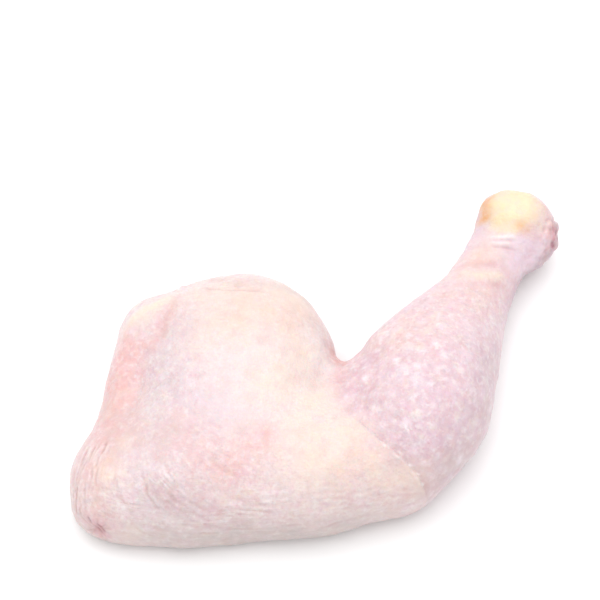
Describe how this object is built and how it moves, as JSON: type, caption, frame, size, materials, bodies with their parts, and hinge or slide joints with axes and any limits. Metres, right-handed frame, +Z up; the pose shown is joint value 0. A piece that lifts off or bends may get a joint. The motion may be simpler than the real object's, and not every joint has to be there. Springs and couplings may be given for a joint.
{
  "type": "raw chicken leg",
  "caption": "Raw skin-on chicken leg with thigh and drumstick in one piece, bent at the knee and lying on its inner side.",
  "frame": {"origin": "on the resting surface, under the middle of the bounding box", "axes": "+Z up from the resting surface; +X from the rump side of the thigh towards the cut hock; +Y from the thigh's near edge towards the hock end of the drumstick"},
  "size_m": [0.1782, 0.1396, 0.042],
  "materials": {
    "skin": null
  },
  "bodies": {
    "root": {"leg": "skin"}
  },
  "joints": []
}
